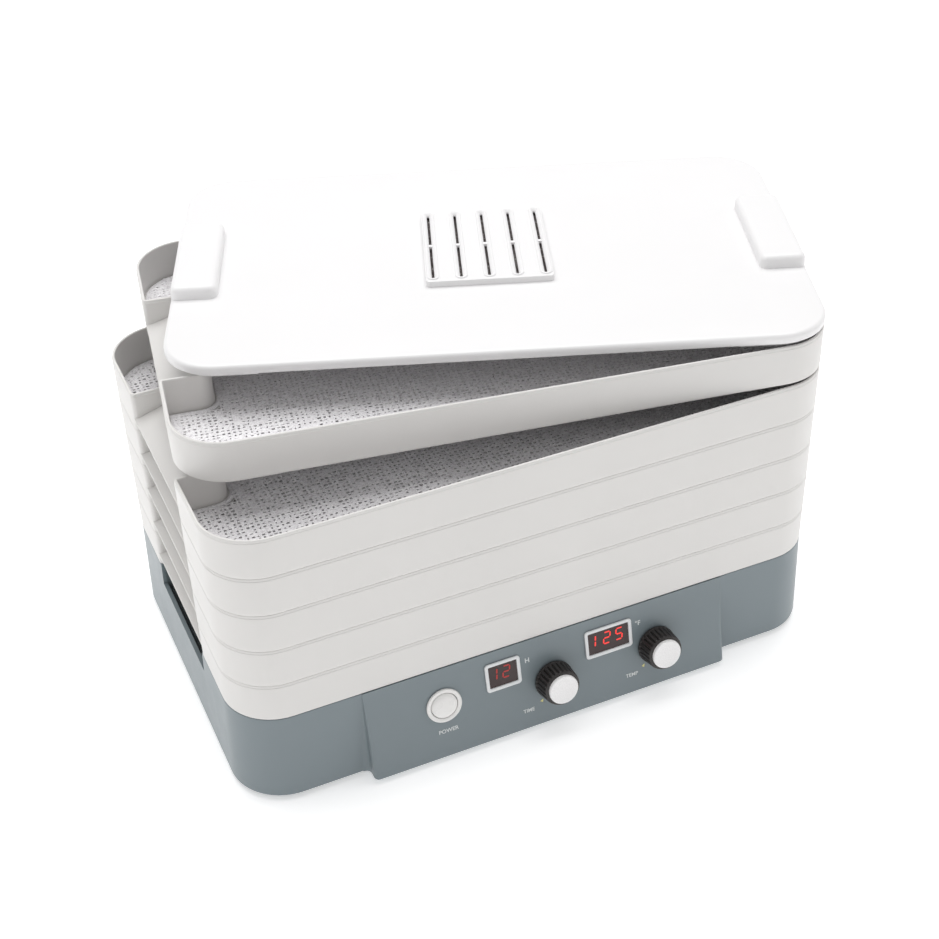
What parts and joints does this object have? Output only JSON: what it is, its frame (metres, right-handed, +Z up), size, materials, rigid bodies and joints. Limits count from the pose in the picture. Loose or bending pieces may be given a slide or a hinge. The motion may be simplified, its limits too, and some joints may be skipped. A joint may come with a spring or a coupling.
{
  "type": "food dehydrator",
  "caption": "Rectangular stacking food dehydrator: blower base with sloping control panel, white slotted trays with side hand recesses, vented lid.",
  "frame": {"origin": "centre of the whole object's footprint, on the plane its feet stand on", "axes": "+X to the right along the stack's long side, +Y away from the control panel, +Z up"},
  "size_m": [0.5032, 0.4092, 0.2668],
  "materials": {
    "tray_white": "satin moulded plastic",
    "liner_white": "soft mesh sheet",
    "lid_white": "glossy moulded plastic",
    "base_grey": "satin blue-grey plastic",
    "knob_black": "satin black plastic",
    "cap_white": "glossy white plastic",
    "bezel_grey": "light grey satin plastic",
    "window_red": "dark red tinted window",
    "led_black": "black potted module",
    "filter_black": "open black mesh and foam",
    "board_green": "solder-masked board",
    "steel": "zinc-plated",
    "motor_dark": "dark lacquered metal",
    "element_metal": "oxidised heater sheath",
    "fan_plastic": "black moulded plastic",
    "rubber_dark": "matt rubber"
  },
  "bodies": {
    "base": {"base_housing": "base_grey", "bottom_cover": "base_grey", "control_board": "board_green", "control_panel": "base_grey", "cord_gland": "rubber_dark", "cover_screw_1": "steel", "cover_screw_2": "steel", "cover_screw_3": "steel", "cover_screw_4": "steel", "fan_motor": "motor_dark", "fan_shroud": "fan_plastic", "foot_1": "rubber_dark", "foot_2": "rubber_dark", "foot_3": "rubber_dark", "foot_4": "rubber_dark", "guard_grille": "base_grey", "heater_bracket": "steel", "heater_element": "element_metal", "motor_bracket": "steel", "power_bezel": "bezel_grey", "power_board": "board_green", "power_switch": "led_black", "temp_display_frame": "bezel_grey", "temp_display_module": "led_black", "temp_display_window": "window_red", "temp_encoder": "motor_dark", "temp_sensor": "steel", "thermal_cutout": "motor_dark", "time_display_frame": "bezel_grey", "time_display_module": "led_black", "time_display_window": "window_red", "time_encoder": "motor_dark"},
    "tray_1": {"tray_1": "tray_white", "liner_1": "liner_white"},
    "tray_2": {"tray_2": "tray_white", "liner_2": "liner_white"},
    "tray_3": {"tray_3": "tray_white", "liner_3": "liner_white"},
    "tray_4": {"tray_4": "tray_white", "liner_4": "liner_white"},
    "tray_5": {"tray_5": "tray_white", "liner_5": "liner_white"},
    "tray_6": {"tray_6": "tray_white", "liner_6": "liner_white"},
    "lid": {"lid": "lid_white", "vent_grille": "lid_white", "vent_mesh": "filter_black"},
    "time_knob": {"time_knob": "knob_black", "time_knob_cap": "cap_white"},
    "temp_knob": {"temp_knob": "knob_black", "temp_knob_cap": "cap_white"},
    "power_button": {"power_button": "cap_white"},
    "impeller": {"fan_impeller": "fan_plastic", "motor_shaft": "steel"},
    "left_filter": {"left_filter_frame": "filter_black", "left_filter_pad": "filter_black"},
    "right_filter": {"right_filter_frame": "filter_black", "right_filter_pad": "filter_black"}
  },
  "joints": [
    {"name": "tray_6_lift", "type": "slide", "parent": "base", "child": "tray_6", "axis": [0, 0, 1], "range_m": [0, 0.08]},
    {"name": "tray_5_lift", "type": "slide", "parent": "tray_6", "child": "tray_5", "axis": [0, 0, 1], "range_m": [0, 0.08]},
    {"name": "tray_4_lift", "type": "slide", "parent": "tray_5", "child": "tray_4", "axis": [0, 0, 1], "range_m": [0, 0.08]},
    {"name": "tray_3_lift", "type": "slide", "parent": "tray_4", "child": "tray_3", "axis": [0, 0, 1], "range_m": [0, 0.08]},
    {"name": "tray_2_lift", "type": "slide", "parent": "tray_3", "child": "tray_2", "axis": [0, 0, 1], "range_m": [0, 0.08]},
    {"name": "tray_1_swivel", "type": "hinge", "parent": "tray_2", "child": "tray_1", "pos_m": [0.14638, -0.14197, 0.2195], "axis": [0, 0, -1], "range_deg": [-9.3, 20]},
    {"name": "lid_swivel", "type": "hinge", "parent": "tray_1", "child": "lid", "pos_m": [0.14638, -0.14197, 0.251], "axis": [0, 0, -1], "range_deg": [-11.4, 25]},
    {"name": "time_knob_turn", "type": "hinge", "parent": "base", "child": "time_knob", "pos_m": [-0.03322, -0.18552, 0.0366], "axis": [0, -0.978, 0.2085], "continuous": true},
    {"name": "temp_knob_turn", "type": "hinge", "parent": "base", "child": "temp_knob", "pos_m": [0.04618, -0.18547, 0.03679], "axis": [0, -0.978, 0.2085], "continuous": true},
    {"name": "power_button_press", "type": "slide", "parent": "base", "child": "power_button", "axis": [0, 0.978, -0.2085], "range_m": [0, 0.0015], "stiffness_N_per_m": 400, "springref_m": -0.001},
    {"name": "impeller_spin", "type": "hinge", "parent": "base", "child": "impeller", "pos_m": [-0.03362, -0.04397, 0.043], "axis": [0, 0, 1], "continuous": true},
    {"name": "left_filter_lift", "type": "slide", "parent": "base", "child": "left_filter", "axis": [0, 0, 1], "range_m": [0, 0.018]},
    {"name": "right_filter_lift", "type": "slide", "parent": "base", "child": "right_filter", "axis": [0, 0, 1], "range_m": [0, 0.018]}
  ]
}
